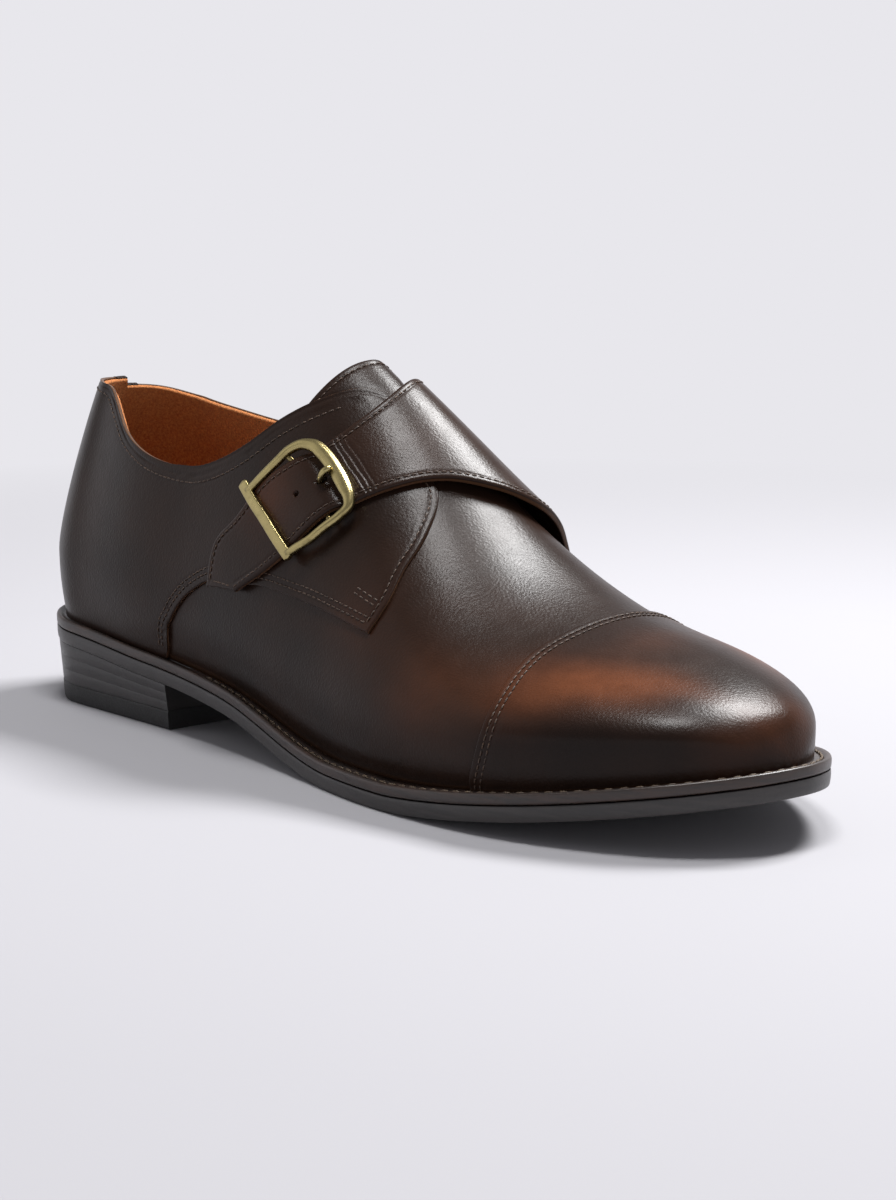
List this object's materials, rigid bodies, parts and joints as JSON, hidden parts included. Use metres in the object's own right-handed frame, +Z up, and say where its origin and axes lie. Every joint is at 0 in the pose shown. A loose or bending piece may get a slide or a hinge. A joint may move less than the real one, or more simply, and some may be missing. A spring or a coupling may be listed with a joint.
{
  "type": "monk strap shoe",
  "caption": "Cap-toe leather monk strap shoe, right foot, with buckled instep strap, welted sole and stacked heel.",
  "frame": {"origin": "on the floor under the middle of the shoe's box", "axes": "+X from heel to toe, +Y to the inner (medial) side of the foot, +Z up"},
  "size_m": [0.304, 0.1056, 0.1124],
  "materials": {
    "upper_leather": "burnished, semi-gloss",
    "insole_leather": "satin",
    "welt_leather": "waxed",
    "sole_leather": "waxed edge",
    "heel_leather": "waxed edge",
    "rubber": "matte",
    "buckle_brass": "antique, polished edges"
  },
  "bodies": {
    "root": {"top_lift": "rubber", "heel_block": "heel_leather", "outsole": "sole_leather", "welt": "welt_leather", "insole": "insole_leather", "upper": "upper_leather", "tongue": "upper_leather", "strap": "upper_leather", "buckle_frame": "buckle_brass", "buckle_prong": "buckle_brass"}
  },
  "joints": []
}
